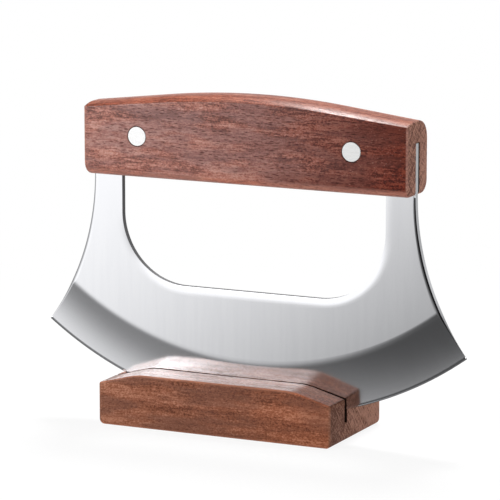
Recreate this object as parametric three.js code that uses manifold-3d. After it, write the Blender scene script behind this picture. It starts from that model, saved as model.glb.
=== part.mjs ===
// Ulu knife standing in the slot of a low wooden block.
// Millimetres, +Z up. The blade is square to Y, and its cutting edge faces down.
import * as THREE from 'three';
import { mergeVertices } from 'three/addons/utils/BufferGeometryUtils.js';
import Module from 'manifold-3d';

// Stand: a block with a flat top, two sloping shoulders and a saw slot along its length.
const STAND_LENGTH = 97.4;
const STAND_DEPTH = 47;
const STAND_HEIGHT = 20.7;
const SHOULDER_DROP = 4.3;
const SHOULDER_RUN = 16;
const SHOULDER_RADIUS = 24;
const STAND_FOOT_RADIUS = 2;
const SLOT_DEPTH = 13.7;
const SLOT_SETBACK = 14.6;
const SLOT_CLEARANCE = 0.25;
const KNIFE_OFFSET = 10;

// Blade: sheet steel with an arched edge, flared sides, a finger window and a tang inside the handle.
const BLADE_WIDTH = 175;
const BLADE_THICKNESS = 2.5;
const EDGE_RADIUS = 146;
const BEVEL_WIDTH = 19.2;
const HONED_WIDTH = 0.9;
const HONED_THICKNESS = 0.4;
const EDGE_THICKNESS = 0.08;
const LEG_WIDTH = 11.8;
const WINDOW_FLOOR = 47;
const WINDOW_HEIGHT = 41.9;
const WINDOW_RADIUS = 27;
const WINDOW_TOP_RADIUS = 3;
const WINDOW_TOP_COVER = 3.4;
const TANG_MARGIN = 1;

// Handle: one wooden block with a crowned top and a kerf sawn up from its underside.
const HANDLE_LENGTH = 134;
const HANDLE_THICKNESS = 18.8;
const HANDLE_HEIGHT = 33.5;
const CROWN_RISE = 5.9;
const CROWN_LENGTH = 72;
const FRONT_BEVEL_WIDTH = 7.1;
const FRONT_BEVEL_DROP = 2;
const FRONT_BEVEL_END_DROP = 1.3;
const BACK_RADIUS = 7;
const LOWER_RADIUS = 4;
const END_CORNER_RADIUS = 1.5;
const KERF_FRONT_GAP = 0.25;
const KERF_BACK_GAP = 0.6;
const KERF_ROOF_GAP = 0.3;
const TANG_INSET = 0.2;

// Rivets: a tubular half from the back and a solid half from the front, heads flush with the wood.
const RIVET_INSET = 22.6;
const RIVET_HEIGHT = 16.1;
const RIVET_HEAD_DIAMETER = 7.6;
const RIVET_HEAD_THICKNESS = 1.6;
const RIVET_HEAD_CHAMFER = 0.15;
const RIVET_TUBE_DIAMETER = 4.4;
const RIVET_PIN_DIAMETER = 2.6;
const RIVET_PIN_CLEARANCE = 0.15;
const RIVET_HOLE_CLEARANCE = 0.2;
const RIVET_SEAT_GAP = 0.2;

// How far the knife stands clear of the slot's floor, and how far a cutter runs past what it cuts.
const SEAT_GAP = 0.2;
const CUT_OVERRUN = 5;

// Facets of the round forms.
const EDGE_SEGMENTS = 288;
const ARC_SEGMENTS = 12;
const RIVET_SEGMENTS = 40;
const CROWN_STEP = 6;
const CORNER_STEPS = 4;
const ROUND_STEPS = 5;

const wasm = await Module();
wasm.setup();

// A closed geometry as a solid that can be joined and cut.
function solid(geometry) {
  const bare = geometry.clone();
  bare.deleteAttribute('normal');
  bare.deleteAttribute('uv');
  const merged = mergeVertices(bare, 1e-4);
  return new wasm.Manifold(new wasm.Mesh({
    numProp: 3,
    vertProperties: new Float32Array(merged.attributes.position.array),
    triVerts: new Uint32Array(merged.index.array),
  }));
}

function geometryOf(manifold) {
  const mesh = manifold.getMesh();
  const geometry = new THREE.BufferGeometry();
  geometry.setAttribute('position', new THREE.BufferAttribute(new Float32Array(mesh.vertProperties), 3));
  geometry.setIndex(new THREE.BufferAttribute(new Uint32Array(mesh.triVerts), 1));
  return geometry;
}

function piece(name, geometry, material) {
  geometry.computeVertexNormals();
  const mesh = new THREE.Mesh(geometry, material);
  mesh.name = name;
  return mesh;
}

// A flat outline in X and Z, given thickness along Y about Y = 0.
function plate(outline, thickness) {
  const geometry = new THREE.ExtrudeGeometry(outline, {
    depth: thickness,
    bevelEnabled: false,
    curveSegments: ARC_SEGMENTS,
  });
  geometry.translate(0, 0, -thickness / 2);
  geometry.rotateX(Math.PI / 2);
  return geometry;
}

function box(x0, x1, y0, y1, z0, z1) {
  const geometry = new THREE.BoxGeometry(x1 - x0, y1 - y0, z1 - z0);
  geometry.translate((x0 + x1) / 2, (y0 + y1) / 2, (z0 + z1) / 2);
  return geometry;
}

// A turned piece about the Y axis, from a profile of radius and place along Y.
function turned(profile, segments) {
  const points = profile.map(([radius, y]) => new THREE.Vector2(radius, y));
  return new THREE.LatheGeometry(points, segments);
}

// Rings of [x, y, z] points joined into one closed skin, with a flat cap on the first and last ring.
function loft(rings) {
  const count = rings[0].length;
  const positions = rings.flat(2);
  const index = [];
  for (let ring = 0; ring + 1 < rings.length; ring += 1) {
    for (let side = 0; side < count; side += 1) {
      const next = (side + 1) % count;
      const a = ring * count + side;
      const b = ring * count + next;
      index.push(a, b, a + count, b, b + count, a + count);
    }
  }
  const flat = rings[0].map(([, y, z]) => new THREE.Vector2(y, z));
  const last = (rings.length - 1) * count;
  for (const [a, b, c] of THREE.ShapeUtils.triangulateShape(flat, [])) {
    index.push(a, c, b);
    index.push(last + a, last + b, last + c);
  }
  const geometry = new THREE.BufferGeometry();
  geometry.setAttribute('position', new THREE.Float32BufferAttribute(positions, 3));
  geometry.setIndex(index);
  return geometry;
}

// The blade's arched edge is part of a circle through both tips and the lowest point of the edge.
const tipX = BLADE_WIDTH / 2;
const tipZ = EDGE_RADIUS - Math.sqrt(EDGE_RADIUS ** 2 - tipX ** 2);

// Thickness of the ground blade at a height above the lowest point of its edge.
function groundThickness(height) {
  const share = (height - HONED_WIDTH) / (BEVEL_WIDTH - HONED_WIDTH);
  const raised = THREE.MathUtils.clamp(share, 0, 1);
  return HONED_THICKNESS + raised * (BLADE_THICKNESS - HONED_THICKNESS);
}

// Stand
const slotFloor = STAND_HEIGHT - SLOT_DEPTH;
const slotWidth = groundThickness(SLOT_DEPTH) + 2 * SLOT_CLEARANCE;
const slotY = SLOT_SETBACK - STAND_DEPTH / 2;

function standOutline() {
  const end = STAND_LENGTH / 2;
  const endHeight = STAND_HEIGHT - SHOULDER_DROP;
  const crest = end - SHOULDER_RUN;
  const slope = Math.atan2(SHOULDER_DROP, SHOULDER_RUN);
  const tangent = SHOULDER_RADIUS * Math.tan(slope / 2);
  const foot = STAND_FOOT_RADIUS;
  const arcX = crest - tangent;
  const arcZ = STAND_HEIGHT - SHOULDER_RADIUS;
  const level = Math.PI / 2;
  const outline = new THREE.Shape();
  outline.moveTo(-end + foot, 0);
  outline.lineTo(end - foot, 0);
  outline.absarc(end - foot, foot, foot, -level, 0, false);
  outline.lineTo(end, endHeight);
  outline.absarc(arcX, arcZ, SHOULDER_RADIUS, level - slope, level, false);
  outline.absarc(-arcX, arcZ, SHOULDER_RADIUS, level, level + slope, false);
  outline.lineTo(-end, endHeight);
  outline.lineTo(-end, foot);
  outline.absarc(-end + foot, foot, foot, Math.PI, Math.PI + level, false);
  return outline;
}

function standGeometry() {
  const reach = STAND_LENGTH / 2 + CUT_OVERRUN;
  const slot = box(
    -reach, reach,
    slotY - slotWidth / 2, slotY + slotWidth / 2,
    slotFloor, STAND_HEIGHT + CUT_OVERRUN,
  );
  return geometryOf(solid(plate(standOutline(), STAND_DEPTH)).subtract(solid(slot)));
}

// Blade, with Z = 0 at the lowest point of its edge
const shankX = HANDLE_LENGTH / 2 - TANG_INSET;
const handleUnderside = WINDOW_FLOOR + WINDOW_HEIGHT;
const rivetZ = handleUnderside + RIVET_HEIGHT;
const rivetHole = RIVET_TUBE_DIAMETER + 2 * RIVET_HOLE_CLEARANCE;
const tangTop = rivetZ + rivetHole / 2 + TANG_MARGIN;

// The sides fall straight from the handle and flare out to the tips in one arc on each side.
function bladeOutline() {
  const flareX = tipX - shankX;
  const flareZ = handleUnderside - tipZ;
  const flareRadius = (flareX ** 2 + flareZ ** 2) / (2 * flareX);
  const flareTurn = Math.asin(flareZ / flareRadius);
  const flareCentre = shankX + flareRadius;
  const outline = new THREE.Shape();
  outline.moveTo(-tipX, -CUT_OVERRUN);
  outline.lineTo(tipX, -CUT_OVERRUN);
  outline.absarc(flareCentre, handleUnderside, flareRadius, Math.PI + flareTurn, Math.PI, true);
  outline.lineTo(shankX, tangTop);
  outline.lineTo(-shankX, tangTop);
  outline.absarc(-flareCentre, handleUnderside, flareRadius, 0, -flareTurn, true);
  outline.holes.push(windowOutline());
  return outline;
}

function windowOutline() {
  const side = shankX - LEG_WIDTH;
  const top = handleUnderside + WINDOW_TOP_COVER;
  const low = WINDOW_RADIUS;
  const high = WINDOW_TOP_RADIUS;
  const quarter = Math.PI / 2;
  const outline = new THREE.Path();
  outline.moveTo(-side + low, WINDOW_FLOOR);
  outline.absarc(side - low, WINDOW_FLOOR + low, low, -quarter, 0, false);
  outline.absarc(side - high, top - high, high, 0, quarter, false);
  outline.absarc(-side + high, top - high, high, quarter, Math.PI, false);
  outline.absarc(-side + low, WINDOW_FLOOR + low, low, Math.PI, Math.PI + quarter, false);
  return outline;
}

// The grind is one surface turned about the centre of the edge's circle.
function grindDisc() {
  const half = BLADE_THICKNESS / 2;
  const profile = [
    [0, -half],
    [EDGE_RADIUS - BEVEL_WIDTH, -half],
    [EDGE_RADIUS - HONED_WIDTH, -HONED_THICKNESS / 2],
    [EDGE_RADIUS, -EDGE_THICKNESS / 2],
  ];
  const mirrored = profile.map(([radius, y]) => [radius, -y]).reverse();
  const disc = turned([...profile, ...mirrored], EDGE_SEGMENTS);
  disc.translate(0, 0, EDGE_RADIUS);
  return disc;
}

// A round bar along Y at one rivet's place, for drilling.
function drill(x, diameter, y0, y1) {
  const bar = new THREE.CylinderGeometry(diameter / 2, diameter / 2, y1 - y0, RIVET_SEGMENTS);
  bar.translate(x, (y0 + y1) / 2, rivetZ);
  return solid(bar);
}

const rivetX = HANDLE_LENGTH / 2 - RIVET_INSET;
const rivetPlaces = { left: -rivetX, right: rivetX };

function bladeGeometry() {
  let blade = solid(plate(bladeOutline(), BLADE_THICKNESS)).intersect(solid(grindDisc()));
  for (const x of Object.values(rivetPlaces)) {
    blade = blade.subtract(drill(x, rivetHole, -BLADE_THICKNESS, BLADE_THICKNESS));
  }
  return geometryOf(blade);
}

// Handle, in the blade's own frame
const handleHalf = HANDLE_THICKNESS / 2;

// The top is a shallow curve in the middle that runs out into a straight slope at each end.
function crownHeight(x) {
  const middle = CROWN_LENGTH / 2;
  const slope = CROWN_RISE / (HANDLE_LENGTH / 2 - middle / 2);
  const out = Math.abs(x);
  const drop = out < middle ? slope * out ** 2 / (2 * middle) : slope * (out - middle / 2);
  return HANDLE_HEIGHT - drop;
}

// The underside turns up to each end in a rounded corner.
function undersideHeight(x) {
  const cornerStart = HANDLE_LENGTH / 2 - END_CORNER_RADIUS;
  const into = THREE.MathUtils.clamp(Math.abs(x) - cornerStart, 0, END_CORNER_RADIUS);
  return END_CORNER_RADIUS - Math.sqrt(END_CORNER_RADIUS ** 2 - into ** 2);
}

function arcPoints(y, z, radius, from, to) {
  const points = [];
  for (let step = 0; step <= ROUND_STEPS; step += 1) {
    const angle = from + (to - from) * step / ROUND_STEPS;
    points.push([y + radius * Math.cos(angle), z + radius * Math.sin(angle)]);
  }
  return points;
}

// The front bevel is deepest in the middle of the handle and flattens a little towards each end.
function bevelDrop(x) {
  const share = (2 * x / HANDLE_LENGTH) ** 2;
  return THREE.MathUtils.lerp(FRONT_BEVEL_DROP, FRONT_BEVEL_END_DROP, share);
}

// One cross section: the front has a bevel with a crisp lower line, the other long edges are rounded.
function handleSection(x) {
  const top = crownHeight(x);
  const low = undersideHeight(x);
  const quarter = Math.PI / 2;
  const half = handleHalf;
  const round = LOWER_RADIUS;
  const drop = bevelDrop(x);
  const domeRadius = (FRONT_BEVEL_WIDTH ** 2 + drop ** 2) / (2 * drop);
  const domeTurn = Math.asin(FRONT_BEVEL_WIDTH / domeRadius);
  const section = [
    ...arcPoints(half - round, low + round, round, -quarter, 0),
    ...arcPoints(half - BACK_RADIUS, top - BACK_RADIUS, BACK_RADIUS, 0, quarter),
    ...arcPoints(FRONT_BEVEL_WIDTH - half, top - domeRadius, domeRadius, quarter, quarter + domeTurn),
    ...arcPoints(round - half, low + round, round, 2 * quarter, 3 * quarter),
  ];
  return section.map(([y, z]) => [x, y, z + handleUnderside]);
}

// Stations along the handle: close together round each end corner, even over the crown.
function handleStations() {
  const end = HANDLE_LENGTH / 2;
  const crown = CROWN_LENGTH / 2;
  const steps = Math.round(CROWN_LENGTH / CROWN_STEP);
  const corner = [];
  for (let step = 0; step <= CORNER_STEPS; step += 1) {
    const angle = Math.PI / 2 * step / CORNER_STEPS;
    corner.push(end - END_CORNER_RADIUS * (1 - Math.cos(angle)));
  }
  const stations = corner.map((x) => -x);
  for (let step = 0; step <= steps; step += 1) {
    stations.push(-crown + CROWN_LENGTH * step / steps);
  }
  stations.push(...corner.reverse());
  return stations;
}

function handleGeometry() {
  const reach = HANDLE_LENGTH / 2 + CUT_OVERRUN;
  const half = BLADE_THICKNESS / 2;
  const kerf = box(
    -reach, reach,
    -half - KERF_FRONT_GAP, half + KERF_BACK_GAP,
    handleUnderside - CUT_OVERRUN, tangTop + KERF_ROOF_GAP,
  );
  let handle = solid(loft(handleStations().map(handleSection))).subtract(solid(kerf));
  const headHole = RIVET_HEAD_DIAMETER + 2 * RIVET_HOLE_CLEARANCE;
  const seat = handleHalf - RIVET_HEAD_THICKNESS - RIVET_SEAT_GAP;
  const outside = handleHalf + CUT_OVERRUN;
  for (const x of Object.values(rivetPlaces)) {
    handle = handle.subtract(drill(x, rivetHole, -outside, outside));
    handle = handle.subtract(drill(x, headHole, -outside, -seat));
    handle = handle.subtract(drill(x, headHole, seat, outside));
  }
  return geometryOf(handle);
}

// Rivets, turned about Y with the heads flush with the handle's two faces
const headRadius = RIVET_HEAD_DIAMETER / 2;
const headSeat = handleHalf - RIVET_HEAD_THICKNESS;
const boreRadius = RIVET_PIN_DIAMETER / 2 + RIVET_PIN_CLEARANCE;

function tubeGeometry() {
  const tubeRadius = RIVET_TUBE_DIAMETER / 2;
  const mouth = -headSeat + RIVET_SEAT_GAP;
  return turned([
    [0, headSeat],
    [boreRadius, headSeat],
    [boreRadius, mouth],
    [tubeRadius, mouth],
    [tubeRadius, headSeat],
    [headRadius, headSeat],
    [headRadius, handleHalf - RIVET_HEAD_CHAMFER],
    [headRadius - RIVET_HEAD_CHAMFER, handleHalf],
    [0, handleHalf],
  ], RIVET_SEGMENTS);
}

function pinGeometry() {
  const pinRadius = RIVET_PIN_DIAMETER / 2;
  const nose = headSeat - RIVET_SEAT_GAP;
  return turned([
    [0, -handleHalf],
    [headRadius - RIVET_HEAD_CHAMFER, -handleHalf],
    [headRadius, -handleHalf + RIVET_HEAD_CHAMFER],
    [headRadius, -headSeat],
    [pinRadius, -headSeat],
    [pinRadius, nose],
    [0, nose],
  ], RIVET_SEGMENTS);
}

const standWood = new THREE.MeshStandardMaterial({ color: 0x8a5138, roughness: 0.5, metalness: 0 });
const handleWood = new THREE.MeshStandardMaterial({ color: 0x7a4238, roughness: 0.45, metalness: 0 });
const bladeSteel = new THREE.MeshStandardMaterial({ color: 0xd6d8da, roughness: 0.12, metalness: 1 });
const rivetMetal = new THREE.MeshStandardMaterial({ color: 0xe4e4e2, roughness: 0.3, metalness: 1 });

const knife = new THREE.Group();
knife.position.set(0, slotY, slotFloor + SEAT_GAP);
knife.add(piece('blade', bladeGeometry(), bladeSteel));
knife.add(piece('handle', handleGeometry(), handleWood));
for (const [side, x] of Object.entries(rivetPlaces)) {
  const tube = piece(`rivet_${side}_tube`, tubeGeometry(), rivetMetal);
  const pin = piece(`rivet_${side}_pin`, pinGeometry(), rivetMetal);
  for (const half of [tube, pin]) {
    half.position.set(x, 0, rivetZ);
    knife.add(half);
  }
}

const stand = piece('stand', standGeometry(), standWood);
stand.position.set(-KNIFE_OFFSET, 0, 0);

const ulu = new THREE.Group();
ulu.add(stand);
ulu.add(knife);

export default ulu;
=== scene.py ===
import math

import bmesh
import bpy
from mathutils import Matrix, Vector


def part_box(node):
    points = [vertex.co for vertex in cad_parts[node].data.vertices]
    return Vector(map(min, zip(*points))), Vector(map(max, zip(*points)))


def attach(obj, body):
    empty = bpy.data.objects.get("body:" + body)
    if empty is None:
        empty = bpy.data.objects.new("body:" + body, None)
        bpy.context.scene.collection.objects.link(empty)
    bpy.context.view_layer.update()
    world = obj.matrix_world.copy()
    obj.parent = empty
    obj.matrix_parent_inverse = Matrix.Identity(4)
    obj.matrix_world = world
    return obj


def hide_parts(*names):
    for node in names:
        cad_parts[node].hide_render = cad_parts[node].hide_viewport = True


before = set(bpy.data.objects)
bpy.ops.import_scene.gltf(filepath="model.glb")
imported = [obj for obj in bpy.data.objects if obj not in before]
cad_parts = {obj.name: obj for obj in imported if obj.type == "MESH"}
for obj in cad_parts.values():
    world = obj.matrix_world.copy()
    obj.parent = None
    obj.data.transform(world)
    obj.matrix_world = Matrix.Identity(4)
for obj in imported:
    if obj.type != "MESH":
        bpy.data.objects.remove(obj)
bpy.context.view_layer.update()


# Stand: a low block of oiled red-brown hardwood that keeps the knife upright on the table.
# It is planed square, sanded to a slope at both ends, and sawn along its top for the blade.
mm = 0.001
stand_low, stand_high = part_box("stand")
blade_low, blade_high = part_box("blade")
stand_length = stand_high.x - stand_low.x
stand_depth = stand_high.y - stand_low.y
stand_height = stand_high.z
slot_centre = (blade_low.y + blade_high.y) / 2 - (stand_low.y + stand_high.y) / 2
slot_width = 2.2 * mm
slot_floor = 7.0 * mm
shoulder_run = 16 * mm
shoulder_drop = 4.3 * mm
shoulder_blend = 6.3 * mm
stand_arris = 0.8 * mm
slot_arris = 0.15 * mm
stand_foot = 2.0 * mm
stand_end_round = 0.6 * mm
bar_stations = 141
end_crowding = 2.2
degrees_per_facet = 11


class Wire:
    """An output in a node tree. Python arithmetic on it adds Math nodes to the tree."""

    def __init__(self, tree, socket=None):
        self.tree = tree
        self.socket = socket

    def node(self, kind, settings=None, sockets=None, output=0):
        node = self.tree.nodes.new(kind)
        for name, value in (settings or {}).items():
            if name == "stops":
                ramp = node.color_ramp.elements
                while len(ramp) < len(value):
                    ramp.new(0.5)
                for stop, (place, colour) in zip(ramp, value):
                    stop.position = place
                    stop.color = colour
            else:
                setattr(node, name, value)
        for key, value in (sockets or {}).items():
            if isinstance(value, Wire):
                self.tree.links.new(value.socket, node.inputs[key])
            else:
                node.inputs[key].default_value = value
        return Wire(self.tree, node.outputs[output] if node.outputs else None)

    def math(self, operation, *values):
        return self.node("ShaderNodeMath", {"operation": operation}, dict(enumerate(values)))

    def __add__(self, other):
        return self.math("ADD", self, other)

    def __radd__(self, other):
        return self.math("ADD", other, self)

    def __sub__(self, other):
        return self.math("SUBTRACT", self, other)

    def __rsub__(self, other):
        return self.math("SUBTRACT", other, self)

    def __mul__(self, other):
        return self.math("MULTIPLY", self, other)

    def __truediv__(self, other):
        return self.math("DIVIDE", self, other)

    def __pow__(self, other):
        return self.math("POWER", self, other)

    def __neg__(self):
        return self.math("MULTIPLY", self, -1.0)

    def __abs__(self):
        return self.math("ABSOLUTE", self)

    def smooth(self, start, end):
        """0 before start, 1 after end and a soft step between them."""
        return self.node("ShaderNodeMapRange", {"interpolation_type": "SMOOTHSTEP"},
                         {"Value": self, "From Min": start, "From Max": end})

    def split(self):
        """The vector's X, Y and Z."""
        return [self.node("ShaderNodeSeparateXYZ", {}, {"Vector": self}, output=i) for i in range(3)]


def shaping_tree(name, taken, sizes, made):
    """An empty Geometry Nodes tree with what it takes, its sizes and a finish as named inputs."""
    tree = bpy.data.node_groups.new(name, "GeometryNodeTree")
    tree.interface.new_socket(taken, in_out="INPUT", socket_type="NodeSocketGeometry")
    for size in sizes:
        tree.interface.new_socket(size, in_out="INPUT", socket_type="NodeSocketFloat")
    tree.interface.new_socket("Finish", in_out="INPUT", socket_type="NodeSocketMaterial")
    tree.interface.new_socket(made, in_out="OUTPUT", socket_type="NodeSocketGeometry")
    entry = tree.nodes.new("NodeGroupInput")
    return tree, {socket.name: Wire(tree, socket) for socket in entry.outputs if socket.name}


def plain_mesh(piece):
    """The piece's mesh with its modifiers worked in."""
    graph = bpy.context.evaluated_depsgraph_get()
    return bpy.data.meshes.new_from_object(piece.evaluated_get(graph))


def shape(piece, tree, sizes):
    """Runs the piece through a tree with its inputs by name, and keeps the plain mesh."""
    maker = piece.modifiers.new("maker", "NODES")
    maker.node_group = tree
    for socket in tree.interface.items_tree:
        if socket.in_out == "INPUT" and socket.name in sizes:
            maker[socket.identifier] = sizes[socket.name]
    piece.data = plain_mesh(piece)
    piece.modifiers.clear()


def crowned_bar():
    """Sweeps a section along X, lets its top fall away to both ends and rounds the ends over."""
    tree, given = shaping_tree("crowned_bar", "Section", (
        "Length", "Flat", "Blend", "Slope", "Foot radius", "End round", "Bevel ease"), "Bar")
    bench = Wire(tree)
    half = given["Length"] * 0.5

    line = bench.node("GeometryNodeCurvePrimitiveLine", {}, {
        "Start": (-1.0, 0.0, 0.0), "End": (1.0, 0.0, 0.0)})
    line = bench.node("GeometryNodeResampleCurve", {}, {"Curve": line, "Count": bar_stations})
    share = bench.node("GeometryNodeSplineParameter") * 2.0 - 1.0
    station = half * share.math("SIGN", share) * (1.0 - (1.0 - abs(share)) ** end_crowding)
    line = bench.node("GeometryNodeSetPosition", {}, {
        "Geometry": line, "Position": bench.node("ShaderNodeCombineXYZ", {}, {"X": station})})
    section = bench.node("GeometryNodeMeshToCurve", {}, {"Mesh": given["Section"]})
    bar = bench.node("GeometryNodeCurveToMesh", {}, {
        "Curve": line, "Profile Curve": section, "Fill Caps": True})

    def mark(name, kind="FLOAT"):
        return bench.node("GeometryNodeInputNamedAttribute", {"data_type": kind}, {"Name": name})

    place = bench.node("GeometryNodeInputPosition")
    along = bench.node("ShaderNodeSeparateXYZ", {}, {"Vector": place})
    out = abs(along)
    past = out.math("MAXIMUM", out - given["Flat"], 0.0)
    inside = past.math("MINIMUM", past, given["Blend"])
    fall = given["Slope"] * ((past - inside) + inside * inside / (given["Blend"] * 2.0))

    def quarter_round(radius):
        into = out.math("MAXIMUM", out - (half - radius), 0.0)
        into = into.math("MINIMUM", into, radius)
        return radius - out.math("SQRT", out.math("MAXIMUM", radius * radius - into * into, 0.0))

    ease = given["Bevel ease"] * (out / half) ** 2.0
    lift = mark("foot") * quarter_round(given["Foot radius"]) + mark("bevel") * ease
    shift = bench.node("ShaderNodeCombineXYZ", {}, {"Z": lift - mark("crown") * fall})
    inset = bench.node("ShaderNodeVectorMath", {"operation": "SCALE"}, {
        0: mark("outward", "FLOAT_VECTOR"), "Scale": -quarter_round(given["End round"])})
    shift = bench.node("ShaderNodeVectorMath", {"operation": "ADD"}, {0: shift, 1: inset})
    bar = bench.node("GeometryNodeSetPosition", {}, {"Geometry": bar, "Offset": shift})
    bar = bench.node("GeometryNodeSetMaterial", {}, {"Geometry": bar, "Material": given["Finish"]})
    bench.node("NodeGroupOutput", {}, {"Bar": bar})
    return tree


def eased_section(corners):
    """A closed section from corners (y, z, radius, crown, bevel, foot, inset), rounded by each radius."""
    points = []
    for at, (y, z, radius, *marks) in enumerate(corners):
        here = Vector((y, z))
        back = (Vector(corners[at - 1][:2]) - here).normalized()
        ahead = (Vector(corners[(at + 1) % len(corners)][:2]) - here).normalized()
        turn = math.pi - back.angle(ahead)
        if radius == 0:
            points.append((here, marks))
            continue
        first = here + back * radius * math.tan(turn / 2)
        last = here + ahead * radius * math.tan(turn / 2)
        centre = here + (back + ahead).normalized() * radius / math.cos(turn / 2)
        steps = max(3, round(math.degrees(turn) / degrees_per_facet))
        for step in range(steps + 1):
            share = step / steps
            arm = (first - centre) * math.sin((1 - share) * turn) + (last - centre) * math.sin(share * turn)
            points.append((centre + arm / math.sin(turn), marks))
    return points


def sweep_bar(name, tree, corners, sizes, finish):
    """One wooden piece from its section, as a plain mesh about X = 0."""
    points = eased_section(corners)
    count = len(points)
    area = sum(points[i - 1][0].cross(points[i][0]) for i in range(count))
    mesh = bpy.data.meshes.new(name)
    mesh.from_pydata([(-p.x, -p.y, 0.0) for p, _ in points],
                     [(i, (i + 1) % count) for i in range(count)], [])
    for slot, mark in enumerate(("crown", "bevel", "foot")):
        values = mesh.attributes.new(mark, "FLOAT", "POINT").data
        for i, (_, marks) in enumerate(points):
            values[i].value = marks[slot]
    outward = mesh.attributes.new("outward", "FLOAT_VECTOR", "POINT").data
    for i in range(count):
        side = points[(i + 1) % count][0] - points[i - 1][0]
        side = Vector((side.y, -side.x)).normalized() * (1 if area > 0 else -1) * points[i][1][3]
        outward[i].vector = (0.0, side.x, side.y)
    blank = bpy.data.objects.new(name, mesh)
    bpy.context.collection.objects.link(blank)
    shape(blank, tree, {**sizes, "Finish": finish})
    skin = bmesh.new()
    skin.from_mesh(blank.data)
    bmesh.ops.remove_doubles(skin, verts=skin.verts, dist=1e-7)
    bmesh.ops.recalc_face_normals(skin, faces=skin.faces)
    skin.to_mesh(blank.data)
    skin.free()
    return blank


def soften(piece, angle):
    """Smooth shading over the rounds, flat faces kept flat and corners past the angle kept crisp."""
    piece.data.shade_smooth()
    piece.data.set_sharp_from_angle(angle=math.radians(angle))
    weigh = piece.modifiers.new("flats", "WEIGHTED_NORMAL")
    weigh.mode = "FACE_AREA"
    weigh.weight = 60
    weigh.keep_sharp = True
    piece.data = plain_mesh(piece)
    piece.modifiers.clear()


def blank_finish(name):
    """A new material and its empty node tree."""
    finish = bpy.data.materials.new(name)
    finish.use_nodes = True
    finish.node_tree.nodes.clear()
    return finish, Wire(finish.node_tree)


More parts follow.
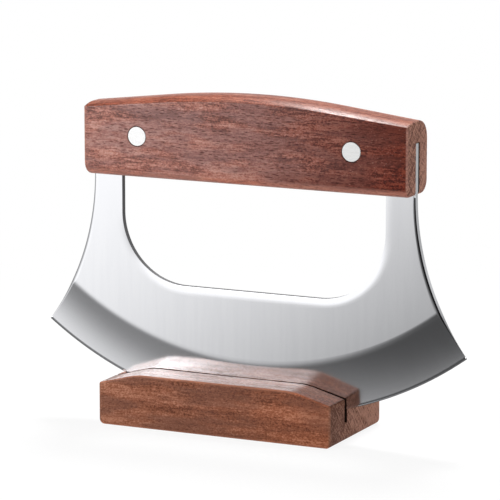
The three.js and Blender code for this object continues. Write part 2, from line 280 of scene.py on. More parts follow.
def oiled_wood(name, centre, half_size, tones, figure, sheen):
    """Open-pored hardwood, oiled to a satin sheen, with the grain along X and bare end grain.

    Towards the right of the front and back, the right painted shading tone multiplies the colour, standing
    in for the light changing along the piece, and the sheen fades. The top tone is painted light: it
    multiplies the colour of all other long faces, standing in for their lighting from above.
    """
    dark, middle, light, grey, end, right_painted_shading, turned_painted_light = (
        (*tones[tone], 1.0) for tone in ("dark", "middle", "light", "grey", "end", "right_painted_shading", "top"))
    plain = (1.0, 1.0, 1.0, 1.0)
    pore_shade = (0.3, 0.22, 0.24, 1.0)
    kerf_shade = (0.02, 0.008, 0.005, 1.0)
    pore_length = figure["pore_length"]
    ring_slope = figure["ring_slope"]
    finish, board = blank_finish(name)
    place = board.node("ShaderNodeTexCoord", output="Object")
    place = board.node("ShaderNodeVectorMath", {"operation": "SUBTRACT"}, {0: place, 1: centre})
    wander = board.node("ShaderNodeTexNoise", {}, {"Vector": place, "Scale": 14.0, "Detail": 1.0},
                        output="Color")
    wander = board.node("ShaderNodeVectorMath", {"operation": "MULTIPLY_ADD"}, {
        0: wander, 1: (0.0, 0.003, 0.004), 2: place})

    def fit(along, across, start, turn=0.0, high=None):
        return board.node("ShaderNodeMapping", {"vector_type": "TEXTURE"}, {
            "Vector": wander, "Location": (figure["seed"], start, start), "Rotation": (turn, 0.0, 0.0),
            "Scale": (along * mm, across * mm, (high or across) * mm)})

    def grain(along, across, start, detail=3.0, roughness=0.55, turn=0.0, high=None):
        return board.node("ShaderNodeTexNoise", {}, {
            "Vector": fit(along, across, start, turn, high), "Scale": 1.0, "Detail": detail,
            "Roughness": roughness})

    def spots(along, across, start, size):
        spot = board.node("ShaderNodeTexVoronoi", {}, {"Vector": fit(along, across, start), "Scale": 1.0})
        return spot.smooth(size, size * 0.4)

    def tint(factor, colour, other, blend="MIX"):
        return board.node("ShaderNodeMix", {"data_type": "RGBA", "blend_type": blend}, {
            0: factor, 6: colour, 7: other}, output=2)

    bands = grain(90.0, 8.0, 0.31, 2.0)
    streaks = grain(15.0, 1.5, 0.77, 4.0, 0.62)
    fibres = grain(3.6, 0.55, 0.13, 2.0)
    speckle = grain(0.9, 0.62, 0.59, 2.0, 0.75)
    patches = grain(24.0, 5.0, 0.94, 2.0)
    along, across, upward = place.split()
    gap_x = half_size[0] - abs(along)
    gap_y = half_size[1] - abs(across)
    gap_z = half_size[2] - abs(upward)
    # Painted shading: a ramp towards the right of the front and back multiplies the colour in place of the
    # light changing there, and also fades the sheen.
    shading_and_sheen_ramp = (along + (bands - 0.5) * 0.06).smooth(-0.4 * half_size[0], 1.15 * half_size[0])
    side = gap_y.smooth(0.9 * mm, 0.1 * mm)
    shading_and_sheen_ramp = shading_and_sheen_ramp * side
    tone = (bands - 0.5) * figure["bands"] + (streaks + fibres - 1.0) * figure["streaks"]
    tone = tone + (speckle - 0.5) * figure["speckle"]
    tone = 0.5 + tone * (1.0 + shading_and_sheen_ramp * sheen["fade"] * 0.7)
    colour = board.node("ShaderNodeValToRGB", {"stops": [
        (0.2, dark), (0.5, middle), (0.82, light)]}, {"Fac": tone})
    colour = tint(patches.smooth(0.4, 0.62) * 0.6, colour, grey)
    # Painted shading towards the right, standing in for the light there.
    colour = tint(1.0, colour, tint(shading_and_sheen_ramp, plain, right_painted_shading), "MULTIPLY")
    pore = spots(pore_length, 0.62, 0.22, 0.4) * patches.smooth(0.34, 0.6)
    pore = pore.math("MAXIMUM", pore, spots(pore_length * 0.5, 0.5, 0.88, 0.33) * 0.6)
    colour = tint(pore * figure["pore_depth"], colour, pore_shade, "MULTIPLY")
    bright = spots(pore_length * 0.45, 0.8, 0.44, 0.27) * streaks.smooth(0.4, 0.6)
    colour = tint(bright * figure["flecks"], colour, light)

    facing = board.node("ShaderNodeNewGeometry", output="Normal")
    right, sideways, up = facing.split()
    # Painted light: every face not square to Y, the tops most of all, is multiplied by the top tone, standing
    # in for light from above.
    turned = abs(sideways).smooth(0.98, 0.85)
    colour = tint(turned, colour, tint(1.0, colour, turned_painted_light, "MULTIPLY"))
    # Painted light: faces turned down are lightened, standing in for light bounced up from the table.
    colour = tint((-up).smooth(0.1, 0.45) * 0.22, colour, light)
    rings = grain(2.0, 0.65, 0.27, 2.0, 0.6, ring_slope, 6.0)
    rays = grain(2.0, 0.4, 0.61, 2.0, 0.6, -ring_slope, 2.4)
    hatch = rings * 0.55 + rays * 0.45
    # The end grain is darker towards the front and lighter towards the back.
    cut = (hatch + (speckle - 0.5) * 0.5 + across * 3.5).smooth(0.41, 0.58)
    cut = tint(cut, dark, end)
    sawn = (gap_x + (speckle - 0.5) * 0.0006).smooth(0.9 * mm, 0.4 * mm)
    colour = tint(sawn, colour, cut)
    # Painted shade: the walls of the slot and the kerf are darkened nearly to black, standing in for the
    # shade inside the narrow cut.
    kerf = abs(sideways).smooth(0.8, 0.95) * gap_y.smooth(1.0 * mm, 2.0 * mm)
    colour = tint(kerf, colour, kerf_shade)
    # Painted highlight: the colour is lightened along the arrises, where the rounded edges catch the light.
    low = gap_x.math("MINIMUM", gap_x, gap_y)
    high = gap_x.math("MAXIMUM", gap_x, gap_y)
    arris = low.math("MAXIMUM", low, low.math("MINIMUM", high, gap_z))
    painted_edge_highlight = (arris + (speckle - 0.5) * 0.0012).smooth(1.0 * mm, 0.2 * mm) * 0.5
    colour = tint(painted_edge_highlight, colour, light)

    height = streaks * 0.25 + fibres * 0.3 + speckle * 0.3 - pore * 0.9 + sawn * hatch * 0.5
    bump = board.node("ShaderNodeBump", {}, {
        "Height": height, "Strength": 0.3, "Distance": 0.00012})
    top = up.smooth(0.86, 0.95) * right.smooth(0.2, 0.04)
    filled = 0.45 + (streaks + fibres).smooth(0.75, 1.15) * 0.55
    gloss = sheen["edge"] + side * (sheen["side"] - sheen["edge"])
    gloss = gloss - shading_and_sheen_ramp * sheen["fade"] * sheen["side"] + top * sheen["top"]
    shader = board.node("ShaderNodeBsdfPrincipled", {}, {
        "Base Color": colour, "Roughness": 0.5 + (fibres - 0.5) * 0.3 + pore * 0.2, "Normal": bump,
        "Coat Weight": (1.0 - pore * 0.85) * (1.0 - sawn) * filled * gloss, "Coat Roughness": 0.28,
        "Specular IOR Level": 0.12})
    board.node("ShaderNodeOutputMaterial", {}, {"Surface": shader})
    return finish


stand_centre = ((stand_low.x + stand_high.x) / 2, (stand_low.y + stand_high.y) / 2, stand_height / 2)
stand_wood = oiled_wood(
    "stand_wood", stand_centre, (stand_length / 2, stand_depth / 2, stand_height / 2),
    tones={
        "dark": (0.086, 0.027, 0.012), "middle": (0.215, 0.07, 0.034), "light": (0.36, 0.158, 0.095),
        "grey": (0.137, 0.055, 0.035), "end": (0.27, 0.13, 0.088), "right_painted_shading": (1.15, 1.05, 0.95),
        "top": (1.6, 1.47, 1.34)},
    figure={
        "seed": 0.2, "ring_slope": 0.75, "pore_length": 2.2, "pore_depth": 0.4,
        "bands": 0.9, "streaks": 0.6, "speckle": 1.25, "flecks": 0.5},
    sheen={"side": 0.15, "edge": 0.15, "fade": 0.0, "top": 0.85})
half_depth = stand_depth / 2
slot_front = slot_centre - slot_width / 2
slot_back = slot_centre + slot_width / 2
bar_tree = crowned_bar()
stand = sweep_bar("wooden_stand", bar_tree, [
    (-half_depth, 0.0, stand_arris, 0, 0, 1, 1),
    (-half_depth, stand_height, stand_arris, 1, 0, 0, 1),
    (slot_front, stand_height, slot_arris, 1, 0, 0, 0.2),
    (slot_front, slot_floor, 0.0, 0, 0, 0, 0.2),
    (slot_back, slot_floor, 0.0, 0, 0, 0, 0.2),
    (slot_back, stand_height, slot_arris, 1, 0, 0, 0.2),
    (half_depth, stand_height, stand_arris, 1, 0, 0, 1),
    (half_depth, 0.0, stand_arris, 0, 0, 1, 1),
], {
    "Length": stand_length, "Flat": stand_length / 2 - shoulder_run - shoulder_blend / 2,
    "Blend": shoulder_blend, "Slope": shoulder_drop / shoulder_run,
    "Foot radius": stand_foot, "End round": stand_end_round, "Bevel ease": 0.0,
}, stand_wood)
stand.data.transform(Matrix.Translation((stand_centre[0], stand_centre[1], 0.0)))
soften(stand, 40)
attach(stand, "stand")
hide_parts("stand")


# Blade: one sheet of stainless steel with an arched cutting edge and a finger window.
# It is stamped, ground hollow along the edge, honed, and buffed to a mirror that rolls its rims over.
edge_radius = 146.0
bevel_width = 19.2
honed_width = 0.7
half_sheet = 1.25
honed_half = 0.2
edge_half = 0.04
tip_x = 87.5
shank_x = 66.8
window_side = 55.0
window_floor = 47.0
window_radius = 27.0
window_rim_radius = 3.0
underside = 88.9
window_top = underside + 3.4
rivet_x = 44.4
rivet_height = underside + 16.1
rivet_hole = 2.4
tang_margin = 1.0
tang_top = rivet_height + rivet_hole + tang_margin
hollow = 0.75
grind_softness = 0.13
roll_width = 3.8
roll_drop = 0.24
roll_fade = 1.5
right_roll = 0.12
buff_run = 6.0
buff_start = 0.8
flank_width = 0.75
flank_widening = 0.65
flank_run = 30.0
flank_slope = 0.4
far_off = 9.0
grind_columns = 96
tip_crowding = 1.8
rim_crowding = 2.6
tip_z = edge_radius - math.sqrt(edge_radius ** 2 - tip_x ** 2)
flare_x = tip_x - shank_x
flare_z = underside - tip_z
flare_radius = (flare_x ** 2 + flare_z ** 2) / (2 * flare_x)
flare_turn = math.asin(flare_z / flare_radius)
flare_centre = shank_x + flare_radius
window_straight = window_side - window_radius
window_bend = window_floor + window_radius


def flare_point(turn):
    return (flare_centre - flare_radius * math.cos(turn), underside - flare_radius * math.sin(turn))


def edge_depth(x, z):
    return edge_radius - math.hypot(x, z - edge_radius)


def rim_gap(x, z):
    """How far a place on the steel lies from the finger window's rim."""
    x = abs(x)
    if z < window_bend and x > window_straight:
        return math.hypot(x - window_straight, z - window_bend) - window_radius
    if z < window_bend:
        return window_floor - z
    return x - window_side if z < underside else far_off


def flare_gap(x, z):
    """How far a place on the steel lies from the flared outer side."""
    if z > underside:
        return far_off
    return math.hypot(abs(x) - flare_centre, z - underside) - flare_radius


def rolled(x, z):
    """How much the buffing rolled the window's rim: most along its floor, least up its sides."""
    reach = math.hypot(max(abs(x) - window_straight, 0.0), z - window_bend)
    low = min(max((window_bend - z) / reach, 0.0), 1.0) ** roll_fade
    return low if x < 0 else right_roll + (1 - right_roll) * low


def half_thickness(x, z):
    depth = edge_depth(x, z)
    if depth < honed_width:
        return edge_half + (honed_half - edge_half) * max(depth, 0.0) / honed_width
    share = (depth - honed_width) / (bevel_width - honed_width)
    ground = honed_half + (half_sheet - honed_half) * ((1 - hollow) * share + hollow * share ** 2)
    apart = max(grind_softness - abs(ground - half_sheet), 0.0)
    sheet = min(ground, half_sheet) - apart ** 2 / (4 * grind_softness)
    buffed = min(max((depth - bevel_width) / buff_run + buff_start, 0.0), 1.0)
    rim = max(rim_gap(x, z), 0.0)
    side = max(flare_gap(x, z), 0.0)
    lower = min(max((underside - z) / flank_run, 0.0), 1.0)
    flank = (flank_width + flank_widening * lower) * sheet / half_sheet
    roll = buffed * max(1 - rim / roll_width, 0.0) ** 3 * roll_drop * rolled(x, z)
    roll += max(1 - side / flank, 0.0) ** 2 * flank * flank_slope / 2
    return sheet - roll


def sheet_normal(x, z):
    """The front surface's outward direction, from the slope of the thickness."""
    reach = 0.02
    fall_x = (half_thickness(x + reach, z) - half_thickness(x - reach, z)) / (2 * reach)
    fall_z = (half_thickness(x, z + reach) - half_thickness(x, z - reach)) / (2 * reach)
    return Vector((-fall_x, -1.0, -fall_z)).normalized()


def even(count):
    return [step / count for step in range(count)]


def towards_tip(share):
    """Moves an even share along, so that the columns crowd together near the tip."""
    return 1 - (1 - share) ** tip_crowding


def spread(count):
    """Shares from 0 to 1, closer together near both ends."""
    shares = []
    for step in range(count + 1):
        share = step / count
        low = share ** rim_crowding
        high = 1 - (1 - share) ** rim_crowding
        shares.append(low * (1 - share) + high * share)
    return shares


def along_path(path, shares):
    """Points at given shares of the length of a path of points."""
    lengths = [0.0]
    for a, b in zip(path, path[1:]):
        lengths.append(lengths[-1] + math.dist(a, b))
    points = []
    at = 0
    for share in shares:
        want = share * lengths[-1]
        while at < len(path) - 2 and lengths[at + 1] < want:
            at += 1
        run = (want - lengths[at]) / (lengths[at + 1] - lengths[at])
        a, b = path[at], path[at + 1]
        points.append((a[0] + (b[0] - a[0]) * run, a[1] + (b[1] - a[1]) * run))
    return points


def arc(centre, radius, start, end, steps):
    angles = [start + (end - start) * i / steps for i in range(steps + 1)]
    return [(centre[0] + radius * math.cos(a), centre[1] + radius * math.sin(a)) for a in angles]


def flare_turn_at(depth):
    """How far down the flared side the steel lies this deep inside the edge."""
    low, high = 0.0, flare_turn
    for _ in range(50):
        middle = (low + high) / 2
        if edge_depth(*flare_point(middle)) > depth:
            low = middle
        else:
            high = middle
    return high


def swing_at(turn):
    """The angle of a place on the flared side, about the centre of the edge's circle."""
    x, z = flare_point(turn)
    return math.atan2(x, edge_radius - z)


grind_radius = edge_radius - bevel_width
grind_turn = flare_turn_at(bevel_width)
grind_swing = swing_at(grind_turn)
window_split = math.radians(-38)

# Right half of the two rims, in matching runs: grind line, flare, tang side, tang top.
runs = [
    ([towards_tip(share) for share in even(grind_columns)],
     arc((0, edge_radius), grind_radius, -math.pi / 2, grind_swing - math.pi / 2, 400),
     [(0.0, window_floor)] + arc((window_straight, window_bend), window_radius,
                                 -math.pi / 2, window_split, 200)),
    (even(56), [flare_point(grind_turn * (1 - i / 200)) for i in range(201)],
     arc((window_straight, window_bend), window_radius, window_split, 0, 200)
     + [(window_side, underside)]),
    (even(8), [(shank_x, underside), (shank_x, tang_top)],
     [(window_side, underside)]
     + arc((window_side - window_rim_radius, window_top - window_rim_radius), window_rim_radius,
           0, math.pi / 2, 60)),
    (even(20), [(shank_x, tang_top), (0.0, tang_top)],
     [(window_side - window_rim_radius, window_top), (0.0, window_top)]),
]
outer_rim, inner_rim = [], []
for shares, outer, inner in runs:
    outer_rim += along_path(outer, shares)
    inner_rim += along_path(inner, shares)
outer_rim.append((0.0, tang_top))
inner_rim.append((0.0, window_top))
outer_rim += [(-x, z) for x, z in outer_rim[-2:0:-1]]
inner_rim += [(-x, z) for x, z in inner_rim[-2:0:-1]]
around = len(outer_rim)

# Rows across the flat steel, from the window's rim to the outer rim.
rim_rows = spread(26)
places = []
for share in rim_rows:
    for (ox, oz), (ix, iz) in zip(outer_rim, inner_rim):
        places.append((ix + (ox - ix) * share, iz + (oz - iz) * share))
quads = []
for row in range(len(rim_rows) - 1):
    for column in range(around):
        a = row * around + column
        b = row * around + (column + 1) % around
        quads.append((a, b, b + around, a + around))

# Rows across the bevel, from the grind line down to the edge.
grind_row = (len(rim_rows) - 1) * around
line = [grind_row + around - i for i in range(grind_columns, 0, -1)]
line += [grind_row + i for i in range(grind_columns + 1)]
depths = [
    19.0, 18.7, 18.3, 17.7, 17.0, 16.0, 14.6, 13.0, 11.2, 9.4,
    7.6, 5.8, 4.2, 2.9, 1.9, 1.2, 0.7, 0.35, 0.0]
band = [line]
for depth in depths:
    swing = swing_at(flare_turn_at(depth))
    radius = edge_radius - depth
    row = []
    for i in range(-grind_columns, grind_columns + 1):
        angle = math.copysign(swing * towards_tip(abs(i) / grind_columns), i)
        row.append(len(places))
        places.append((radius * math.sin(angle), edge_radius - radius * math.cos(angle)))
    band.append(row)
for upper, lower in zip(band, band[1:]):
    for i in range(2 * grind_columns):
        quads.append((upper[i], upper[i + 1], lower[i + 1], lower[i]))

# Both faces of the sheet, then the walls of the window and of the outline.
blade_y = (blade_low.y + blade_high.y) / 2
blade_foot = blade_low.z
sheet_count = len(places)
corners, faces = [], []
for face in (-1, 1):
    for x, z in places:
        corners.append((x * mm, blade_y + face * half_thickness(x, z) * mm, blade_foot + z * mm))
for face in (-1, 1):
    for quad in quads:
        side = [i + (0 if face < 0 else sheet_count) for i in quad]
        a, b, c = (Vector(corners[i]) for i in side[:3])
        if (b - a).cross(c - a).y * face < 0:
            side.reverse()
        faces.append(side)
window_loop = list(range(around))
upper_loop = [grind_row + i for i in range(grind_columns, around - grind_columns + 1)]
left_ends = [row[0] for row in band]
right_ends = [row[-1] for row in band]
outer_loop = upper_loop + left_ends[1:] + band[-1][1:] + right_ends[-2:0:-1]
window_middle = Vector((0.0, (window_floor + underside) / 2))
for loop in (window_loop, outer_loop):
    for a, b in zip(loop, loop[1:] + loop[:1]):
        wall = [a, b, b + sheet_count, a + sheet_count]
        run = Vector(places[b]) - Vector(places[a])
        away = (Vector(places[a]) + Vector(places[b])) / 2 - window_middle
        out = Vector((run.y, 0.0, -run.x))
        if (out.x * away.x + out.z * away.y > 0) == (loop is window_loop):
            out = -out
        p, q, r = (Vector(corners[k]) for k in wall[:3])
        if (q - p).cross(r - p).dot(out) < 0:
            wall.reverse()
        faces.append(wall)
blade_mesh = bpy.data.meshes.new("polished_blade")
blade_mesh.from_pydata(corners, [], faces)

# Only the window's wall stays rough as it was stamped, and its steel is darkened as painted shade for the
# dark line it shows.
stamped = blade_mesh.attributes.new("stamped", "FLOAT", "FACE").data
for face in range(2 * len(quads), 2 * len(quads) + len(window_loop)):
    stamped[face].value = 1.0
blade = bpy.data.objects.new("polished_blade", blade_mesh)
bpy.context.collection.objects.link(blade)


def drill(piece, radius, reach, planes):
    """Bores the piece at both rivets, reaching to both sides of each plane square to Y."""
    bits = bmesh.new()
    for side in (-1, 1):
        for plane in planes:
            place = (side * rivet_x * mm, plane, blade_foot + rivet_height * mm)
            bmesh.ops.create_cone(
                bits, cap_ends=True, segments=72, radius1=radius, radius2=radius, depth=2 * reach,
                matrix=Matrix.Translation(place) @ Matrix.Rotation(math.pi / 2, 4, "X"))
    bit_mesh = bpy.data.meshes.new("drill_bits")
    bits.to_mesh(bit_mesh)
    bits.free()
    cutter = bpy.data.objects.new("drill_bits", bit_mesh)
    bpy.context.collection.objects.link(cutter)
    bore = piece.modifiers.new("bores", "BOOLEAN")
    bore.operation = "DIFFERENCE"
    bore.solver = "EXACT"
    bore.object = cutter
    piece.data = plain_mesh(piece)
    piece.modifiers.clear()
    bpy.data.objects.remove(cutter)


drill(blade, rivet_hole * mm, 2 * half_sheet * mm, [blade_y])

# The mirror follows the ground form itself, so the bores leave no mark in its reflections.
blade_mesh = blade.data
blade_mesh.shade_smooth()
corner_normals = []
for face in blade_mesh.polygons:
    for i in face.vertices:
        normal = face.normal
        if abs(normal.y) > 0.5:
            at = blade_mesh.vertices[i].co
            tilt = sheet_normal(at.x / mm, (at.z - blade_foot) / mm)
            normal = Vector((tilt.x, math.copysign(tilt.y, normal.y), tilt.z))
        corner_normals.append(tuple(normal))
blade_mesh.normals_split_custom_set(corner_normals)


def mirror_steel():
    """Buffed stainless steel with faint polishing lines, and grinding streaks across the bevel."""
    finish, sheet = blank_finish("blade_steel")
    place = sheet.node("ShaderNodeTexCoord", output="Object")
    x, _, z = place.split()
    drop = (blade_foot + edge_radius * mm) - z
    radius = x.math("SQRT", x * x + drop * drop)
    depth = (edge_radius * mm - radius) * 1000.0
    swing = x.math("ARCTAN2", x, drop)
    bevel = depth.smooth(bevel_width + 0.3, bevel_width - 0.3)
    spokes = sheet.node("ShaderNodeCombineXYZ", {}, {"X": swing * 520.0, "Y": depth * 0.05})
    streaks = sheet.node("ShaderNodeTexNoise", {}, {
        "Vector": spokes, "Scale": 1.0, "Detail": 3.0, "Roughness": 0.6})
    rubbed = sheet.node("ShaderNodeMapping", {}, {"Vector": place, "Scale": (420.0, 420.0, 30.0)})
    lines = sheet.node("ShaderNodeTexNoise", {}, {
        "Vector": rubbed, "Scale": 1.0, "Detail": 3.0, "Roughness": 0.6})
    cloud = sheet.node("ShaderNodeTexNoise", {}, {"Vector": place, "Scale": 30.0, "Detail": 2.0})
    marks = lines + bevel * (streaks - lines)
    rough_shaded_wall = sheet.node("ShaderNodeAttribute", {"attribute_name": "stamped"}, output="Fac")
    roughness = 0.06 + (cloud - 0.5) * 0.04 + bevel * 0.06 + (marks - 0.5) * 0.03 + rough_shaded_wall * 0.55
    bump = sheet.node("ShaderNodeBump", {}, {
        "Height": marks * (0.15 + bevel * 0.85), "Strength": 0.06, "Distance": 0.000004})
    colour = sheet.node("ShaderNodeMix", {"data_type": "RGBA"}, {
        0: marks.smooth(0.3, 0.7), 6: (0.79, 0.795, 0.82, 1.0), 7: (0.81, 0.815, 0.838, 1.0)}, output=2)
    # The window's wall is rough as stamped, and is also coloured dark grey as painted shade.
    colour = sheet.node("ShaderNodeMix", {"data_type": "RGBA"}, {
        0: rough_shaded_wall, 6: colour, 7: (0.15, 0.15, 0.154, 1.0)}, output=2)
    shader = sheet.node("ShaderNodeBsdfPrincipled", {}, {
        "Base Color": colour, "Metallic": 1.0, "Roughness": roughness, "Normal": bump})
    sheet.node("ShaderNodeOutputMaterial", {}, {"Surface": shader})
    return finish


blade_mesh.materials.append(mirror_steel())
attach(blade, "knife")
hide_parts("blade")


# Handle: one block of the same hardwood with a crowned top, held across the whole blade.
# Its underside is sawn up the middle for the tang, and its two faces are bored for the rivet heads.
handle_low, handle_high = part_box("handle")
handle_length = handle_high.x - handle_low.x
handle_depth = handle_high.y - handle_low.y
handle_height = 33.5 * mm
crown_blend = 36 * mm
crown_rise = 5.9 * mm
front_bevel_width = 7.1 * mm
front_bevel_drop = 2.0 * mm
end_bevel_drop = 1.3 * mm
back_round = 7 * mm
lower_round = 4 * mm
handle_arris = 0.6 * mm
handle_corner = 1.5 * mm
handle_end_round = 0.5 * mm
kerf_arris = 0.3 * mm
kerf_front = -1.5 * mm
kerf_back = 1.85 * mm
kerf_roof = 19.8 * mm
rivet_radius = 3.8 * mm
rivet_ring = 0.2 * mm
head_depth = 1.8 * mm

handle_wood = oiled_wood(
    "handle_wood", (0.0, blade_y, handle_low.z + handle_height / 2),
    (handle_length / 2, handle_depth / 2, handle_height / 2),
    tones={
        "dark": (0.097, 0.029, 0.02), "middle": (0.288, 0.095, 0.064), "light": (0.41, 0.206, 0.162),
        "grey": (0.186, 0.09, 0.082), "end": (0.36, 0.18, 0.125), "right_painted_shading": (0.4, 0.145, 0.075),
        "top": (1.06, 0.84, 0.67)},
    figure={
        "seed": 0.5, "ring_slope": -0.75, "pore_length": 3.4, "pore_depth": 0.85,
        "bands": 1.0, "streaks": 1.0, "speckle": 1.2, "flecks": 0.3},
    sheen={"side": 0.8, "edge": 0.45, "fade": 1.0, "top": 0.0})
half_handle = handle_depth / 2
dome_radius = (front_bevel_width ** 2 + front_bevel_drop ** 2) / (2 * front_bevel_drop)
dome_turn = math.asin(front_bevel_width / dome_radius)
dome_steps = 8
dome = []
for step in range(1, dome_steps + 1):
    swing = dome_turn * (1 - step / dome_steps)
    dome.append((front_bevel_width - half_handle - dome_radius * math.sin(swing),
                 handle_height - dome_radius * (1 - math.cos(swing)), 0.0,
                 1, (1 - math.cos(swing)) / (1 - math.cos(dome_turn)), 0, 1))
handle = sweep_bar("wooden_handle", bar_tree, [
    (kerf_front, 0.0, kerf_arris, 0, 0, 1, 0.2),
    (-half_handle, 0.0, lower_round, 0, 0, 1, 1),
    (-half_handle, handle_height - front_bevel_drop, handle_arris, 1, 1, 0, 1),
    *dome,
    (half_handle, handle_height, back_round, 1, 0, 0, 1),
    (half_handle, 0.0, lower_round, 0, 0, 1, 1),
    (kerf_back, 0.0, kerf_arris, 0, 0, 1, 0.2),
    (kerf_back, kerf_roof, 0.0, 0, 0, 0, 0.2),
    (kerf_front, kerf_roof, 0.0, 0, 0, 0, 0.2),
], {
    "Length": handle_length, "Flat": 0.0, "Blend": crown_blend,
    "Slope": crown_rise / (handle_length / 2 - crown_blend / 2),
    "Foot radius": handle_corner, "End round": handle_end_round,
    "Bevel ease": front_bevel_drop - end_bevel_drop,
}, handle_wood)
handle.data.transform(Matrix.Translation((0.0, blade_y, handle_low.z)))

drill(handle, rivet_radius + rivet_ring, head_depth, [blade_y - half_handle, blade_y + half_handle])
drill(handle, rivet_hole * mm, half_handle, [blade_y])
soften(handle, 38)
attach(handle, "knife")
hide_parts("handle")


# Rivets: two-part cutlery rivets of bright steel that pin the handle to the tang.
# The solid half is pressed from the front into the tubular half, and the heads are sanded flush.
head_thickness = 1.6 * mm
head_chamfer = 0.18 * mm
rivet_reach = 17.0 * mm
tube_radius = 2.2 * mm
bore_radius = 1.45 * mm
pin_radius = 1.3 * mm


def rivet_row():
    """Turns a solid and a tubular rivet half, and sets them at the places by the way each faces."""
    tree, given = shaping_tree("rivet_row", "Places", (
        "Head radius", "Head thickness", "Chamfer", "Reach",
        "Tube radius", "Bore radius", "Pin radius"), "Rivets")
    lathe = Wire(tree)

    def join(pieces):
        joined = lathe.node("GeometryNodeJoinGeometry")
        for piece in pieces:
            tree.links.new(piece.socket, joined.socket.node.inputs[0])
        return joined

    def turned(profile):
        """One closed skin from a profile of radius and depth below the head's face.

        The one run that comes back up is the tube's bore, which faces inwards.
        """
        bands = []
        for (radius, depth), (next_radius, next_depth) in zip(profile, profile[1:]):
            inside = depth is reach and next_depth is thick
            if inside:
                depth, next_depth = next_depth, depth
            band = lathe.node("GeometryNodeMeshCone", {"fill_type": "NONE"}, {
                "Vertices": 64, "Radius Top": radius, "Radius Bottom": next_radius,
                "Depth": next_depth - depth})
            if inside:
                band = lathe.node("GeometryNodeFlipFaces", {}, {"Mesh": band})
            bands.append(lathe.node("GeometryNodeTransform", {}, {
                "Geometry": band,
                "Translation": lathe.node("ShaderNodeCombineXYZ", {}, {"Z": 0.0 - next_depth})}))
        return lathe.node("GeometryNodeMergeByDistance", {}, {"Geometry": join(bands), "Distance": 1e-6})

    head, chamfer, thick, reach = (
        given[name] for name in ("Head radius", "Chamfer", "Head thickness", "Reach"))
    tube, bore, pin = (given[name] for name in ("Tube radius", "Bore radius", "Pin radius"))
    flat_head = [(0.0, 0.0), (head - chamfer, 0.0), (head, chamfer), (head, thick)]
    solid_half = turned(flat_head + [(pin, thick), (pin, reach), (0.0, reach)])
    tubular_half = turned(flat_head + [
        (tube, thick), (tube, reach), (bore, reach), (bore, thick), (0.0, thick)])
    facing = lathe.node("GeometryNodeInputNamedAttribute", {"data_type": "FLOAT_VECTOR"}, {"Name": "facing"})
    aim = lathe.node("FunctionNodeAlignRotationToVector", {"axis": "Z"}, {"Vector": facing})
    back = lathe.node("ShaderNodeSeparateXYZ", {}, {"Vector": facing}, output=1)
    row = join([
        lathe.node("GeometryNodeInstanceOnPoints", {}, {
            "Points": given["Places"], "Selection": chosen, "Instance": half, "Rotation": aim})
        for half, chosen in ((solid_half, back.math("LESS_THAN", back, 0.0)),
                             (tubular_half, back.math("GREATER_THAN", back, 0.0)))])
    row = lathe.node("GeometryNodeRealizeInstances", {}, {"Geometry": row})
    row = lathe.node("GeometryNodeSetMaterial", {}, {"Geometry": row, "Material": given["Finish"]})
    lathe.node("NodeGroupOutput", {}, {"Rivets": row})
    return tree


def sanded_steel():
    """Bright satin steel, sanded along the handle with the wood round it."""
    finish, head = blank_finish("rivet_metal")
    place = head.node("ShaderNodeTexCoord", output="Object")
    rubbed = head.node("ShaderNodeMapping", {}, {
        "Vector": place, "Rotation": (0.0, 0.5, 0.0), "Scale": (300.0, 300.0, 4500.0)})
    lines = head.node("ShaderNodeTexNoise", {}, {
        "Vector": rubbed, "Scale": 1.0, "Detail": 4.0, "Roughness": 0.65})
    bump = head.node("ShaderNodeBump", {}, {"Height": lines, "Strength": 0.2, "Distance": 0.00002})
    colour = head.node("ShaderNodeMix", {"data_type": "RGBA"}, {
        0: lines.smooth(0.3, 0.7), 6: (0.78, 0.78, 0.775, 1.0), 7: (0.84, 0.84, 0.835, 1.0)}, output=2)
    shader = head.node("ShaderNodeBsdfPrincipled", {}, {
        "Base Color": colour, "Metallic": 1.0, "Roughness": 0.17 + (lines - 0.5) * 0.12, "Normal": bump})
    head.node("ShaderNodeOutputMaterial", {}, {"Surface": shader})
    return finish


rivet_places = [(side, face) for side in (-1, 1) for face in (-1, 1)]
rivet_mesh = bpy.data.meshes.new("rivets")
rivet_mesh.from_pydata([
    (side * rivet_x * mm, blade_y + face * half_handle, blade_foot + rivet_height * mm)
    for side, face in rivet_places], [], [])
facing = rivet_mesh.attributes.new("facing", "FLOAT_VECTOR", "POINT").data
for mark, (_, face) in zip(facing, rivet_places):
    mark.vector = (0.0, face, 0.0)
rivets = bpy.data.objects.new("rivets", rivet_mesh)
bpy.context.collection.objects.link(rivets)
shape(rivets, rivet_row(), {
    "Head radius": rivet_radius, "Head thickness": head_thickness, "Chamfer": head_chamfer,
    "Reach": rivet_reach, "Tube radius": tube_radius, "Bore radius": bore_radius,
    "Pin radius": pin_radius, "Finish": sanded_steel(),
})
soften(rivets, 30)
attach(rivets, "knife")
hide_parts("rivet_left_tube", "rivet_left_pin", "rivet_right_tube", "rivet_right_pin")


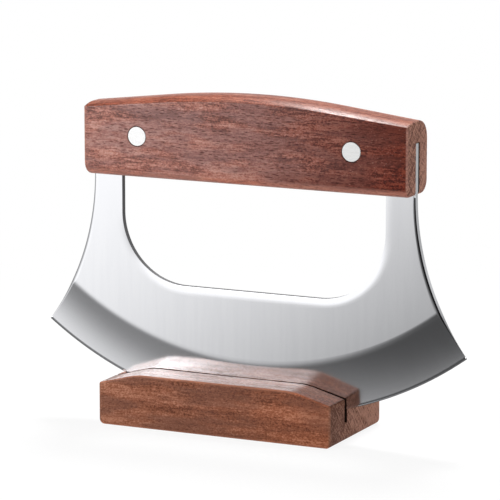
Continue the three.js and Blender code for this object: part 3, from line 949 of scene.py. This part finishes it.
# Table: a wide pale sheet under the block, which keeps a soft shadow.
# It shows white to the camera, and polished steel looks past it into the studio.
table_mesh = bpy.data.meshes.new("table")
table_mesh.from_pydata([(-5, -5, 0), (5, -5, 0), (5, 5, 0), (-5, 5, 0)], [], [(0, 1, 2, 3)])
table = bpy.data.objects.new("table", table_mesh)
bpy.context.collection.objects.link(table)
pale, paper = blank_finish("pale_table")
matt = paper.node("ShaderNodeBsdfDiffuse", {}, {"Color": (0.92, 0.92, 0.92, 1.0)})
glow = paper.node("ShaderNodeEmission", {}, {"Color": (1.0, 1.0, 1.0, 1.0), "Strength": 1.0})
to_camera = paper.node("ShaderNodeLightPath", output="Is Camera Ray")
to_gloss = paper.node("ShaderNodeLightPath", output="Is Glossy Ray")
spot = paper.node("ShaderNodeTexCoord", output="Object")
reach = paper.node("ShaderNodeVectorMath", {"operation": "LENGTH"}, {0: spot}, output="Value")
plain = 0.88 + reach.smooth(0.1, 0.35) * 0.12
lit = paper.node("ShaderNodeMixShader", {}, {0: to_camera * plain, 1: matt, 2: glow})
clear = paper.node("ShaderNodeBsdfTransparent")
paper.node("ShaderNodeOutputMaterial", {}, {
    "Surface": paper.node("ShaderNodeMixShader", {}, {0: to_gloss, 1: lit, 2: clear})})
table_mesh.materials.append(pale)


# Studio: white paper in front on the left, a dark front on the right and a grey wall behind, with soft boxes.
# The polished blade shows this room, brightest at its left and fading to its right tip.
# Angles are in degrees: the bearing from the front, to the right, and the rise from level.
room_level = 1.22
room = bpy.data.worlds.new("studio")
bpy.context.scene.world = room
room.use_nodes = True
room.node_tree.nodes.clear()
air = Wire(room.node_tree)
look = air.node("ShaderNodeTexCoord", output="Generated")
look_x, look_y, look_z = look.split()
bearing = air.math("ARCTAN2", look_x, -look_y) * math.degrees(1)
rise = air.math("ARCSINE", look_z) * math.degrees(1)

# The front paper ends along a slanting line. Below the table's height only its left part goes on.
slant = (rise + 10.0) * 1.5 - bearing
front = 0.11 + slant.smooth(13.0, 31.0) * 0.92
low_paper = 0.145 + (rise + bearing * 0.46).smooth(-34.5, -23.8) * 0.86
below = 0.06 + bearing.smooth(-19.0, -33.0) * low_paper
front = below + rise.smooth(-13.6, -12.2) * (front - below)

# A bright strip hangs over the paper, which dims towards the far left and the right.
strip = rise.smooth(4.0, 11.0) * rise.smooth(32.0, 22.0)
strip = strip * bearing.smooth(8.0, -16.0) * bearing.smooth(-92.0, -66.0)
front = front * (1.0 - rise.smooth(9.0, 20.0) * 0.85) + strip * 2.3
front = front * (1.0 - bearing.smooth(-32.0, -62.0) * 0.72)
front = front * (1.0 - bearing.smooth(-9.0, 6.0) * 0.92)

# Behind is a grey wall with a band of light at the table's height.
corner = bearing.smooth(110.0, 140.0) * (0.13 + rise.smooth(0.0, -6.0) * 0.15)
behind = 0.12 + corner - rise.smooth(8.0, 20.0) * 0.07
band_level = 0.88 - bearing.smooth(20.0, 60.0) * 0.6
behind = behind + rise.smooth(-7.0, 5.0) * rise.smooth(14.0, 6.0) * band_level
walls = front + abs(bearing).smooth(84.0, 104.0) * (behind - front)

# A sheet of paper stands on the right, and the table glows in front of it and all round further down.
right_paper = bearing.smooth(48.0, 75.0) * bearing.smooth(150.0, 120.0)
walls = walls + right_paper * rise.smooth(-14.0, 8.0) * rise.smooth(60.0, 35.0)
table_glow = (rise - bearing.smooth(22.0, 40.0) * 8.0).smooth(-12.5, -17.0)
table_glow = table_glow * bearing.smooth(-10.0, 8.0) * bearing.smooth(100.0, 84.0)
walls = walls + table_glow * 0.4
walls = walls + rise.smooth(-30.0, -42.0) * (0.8 - walls)
shown = air.node("ShaderNodeBackground", {}, {"Color": (1.0, 1.0, 1.0, 1.0), "Strength": walls * room_level})
white = air.node("ShaderNodeBackground", {}, {"Color": (1.0, 1.0, 1.0, 1.0), "Strength": 1.0})
seen = air.node("ShaderNodeLightPath", output="Is Camera Ray")
air.node("ShaderNodeOutputWorld", {}, {
    "Surface": air.node("ShaderNodeMixShader", {}, {0: seen, 1: shown, 2: white})})


def soft_lamp(name, place, aim, size, watts):
    """A square soft box at a place, turned to what it lights."""
    lamp = bpy.data.lights.new(name, "AREA")
    lamp.shape = "SQUARE"
    lamp.size = size
    lamp.energy = watts
    box = bpy.data.objects.new(name, lamp)
    box.location = place
    box.rotation_euler = (Vector(aim) - Vector(place)).to_track_quat("-Z", "Y").to_euler()
    bpy.context.collection.objects.link(box)


soft_lamp("left_box", (-0.3, -0.3, 0.2), (-0.05, blade_y, 0.1), 0.2, 1.22)
soft_lamp("right_box", (0.5, -0.09, 0.08), (0.05, blade_y, 0.08), 0.14, 0.3)
soft_lamp("top_box", (-0.04, 0.2, 0.54), (0.02, blade_y, 0.12), 0.16, 3.4)


# Camera: a long lens at the photograph's angle, a little above the table and to the right.
view_turn = math.radians(25.43)
view_rise = math.radians(10.6)
view_width = 500
view_focal = 3422
view_target = Vector((-1.28 * mm, blade_y, 70.25 * mm))
view_distance = 1295.5 * mm
lens = bpy.data.cameras.new("view")
lens.sensor_width = 36.0
lens.lens = view_focal / view_width * lens.sensor_width
lens.clip_start = 0.05
lens.clip_end = 50.0
eye = bpy.data.objects.new("view", lens)
eye.location = view_target + view_distance * Vector((
    math.sin(view_turn) * math.cos(view_rise), -math.cos(view_turn) * math.cos(view_rise),
    math.sin(view_rise)))
eye.rotation_euler = (math.pi / 2 - view_rise, 0.0, view_turn)
bpy.context.collection.objects.link(eye)
bpy.context.scene.camera = eye
bpy.context.scene.view_settings.view_transform = "Standard"
